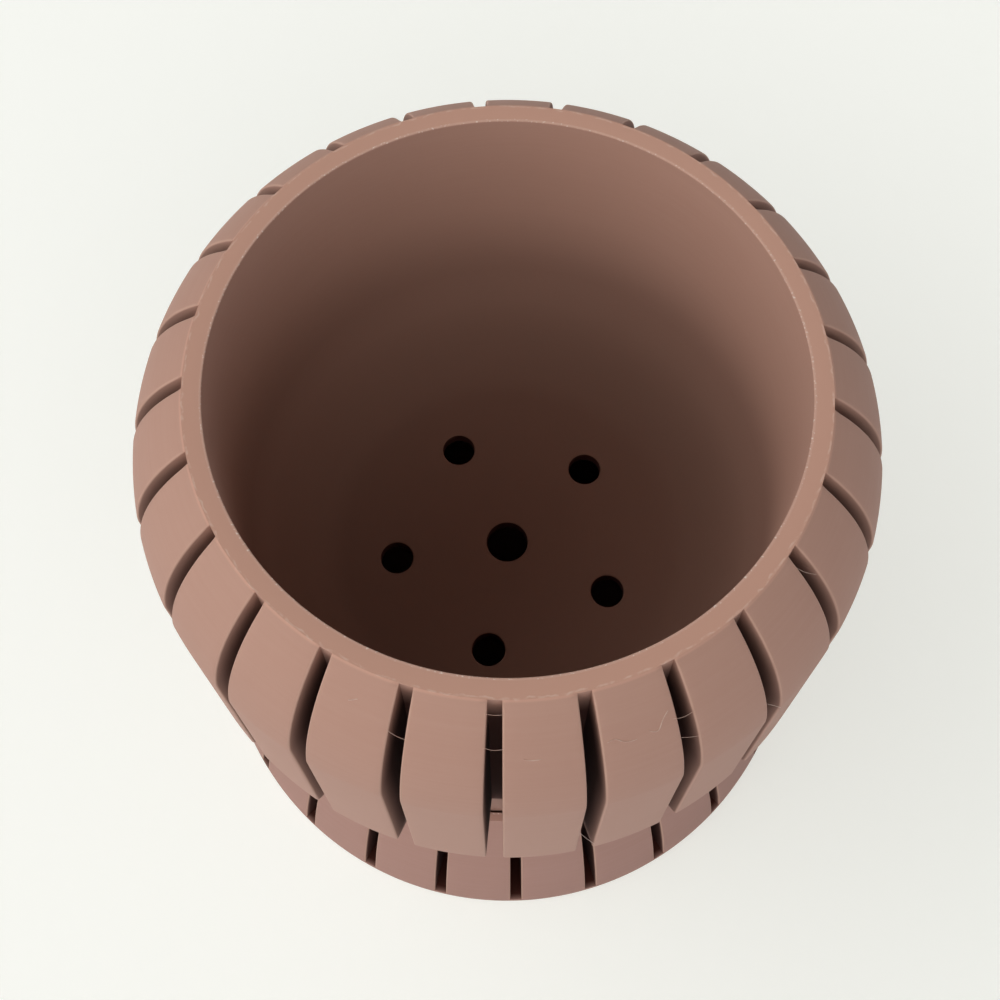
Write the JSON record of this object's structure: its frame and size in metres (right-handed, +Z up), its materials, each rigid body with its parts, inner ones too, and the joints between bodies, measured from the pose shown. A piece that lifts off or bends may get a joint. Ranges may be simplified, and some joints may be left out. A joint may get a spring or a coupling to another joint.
{
  "type": "planter pot with drip tray",
  "caption": "Round planter pot with deep upright ribs and a raised, drained floor, standing in a matching ribbed drip tray that it lifts out of.",
  "frame": {"origin": "on the surface it stands on, under the middle of the drip tray", "axes": "+Z up along the axis of the pot, -Y towards the side that the picture sees, +X to the right of it"},
  "size_m": [0.132, 0.132, 0.13],
  "materials": {
    "pot_print": "matte printed plastic, dusty rose brown, with fine level layer lines",
    "tray_print": "matte printed plastic, dusty rose brown, with fine level layer lines"
  },
  "bodies": {
    "drip_tray": {"drip_tray": "tray_print"},
    "pot": {"pot": "pot_print"}
  },
  "joints": [
    {"name": "pot_lift", "type": "slide", "parent": "drip_tray", "child": "pot", "axis": [0, 0, 1], "range_m": [0, 0.06]}
  ]
}
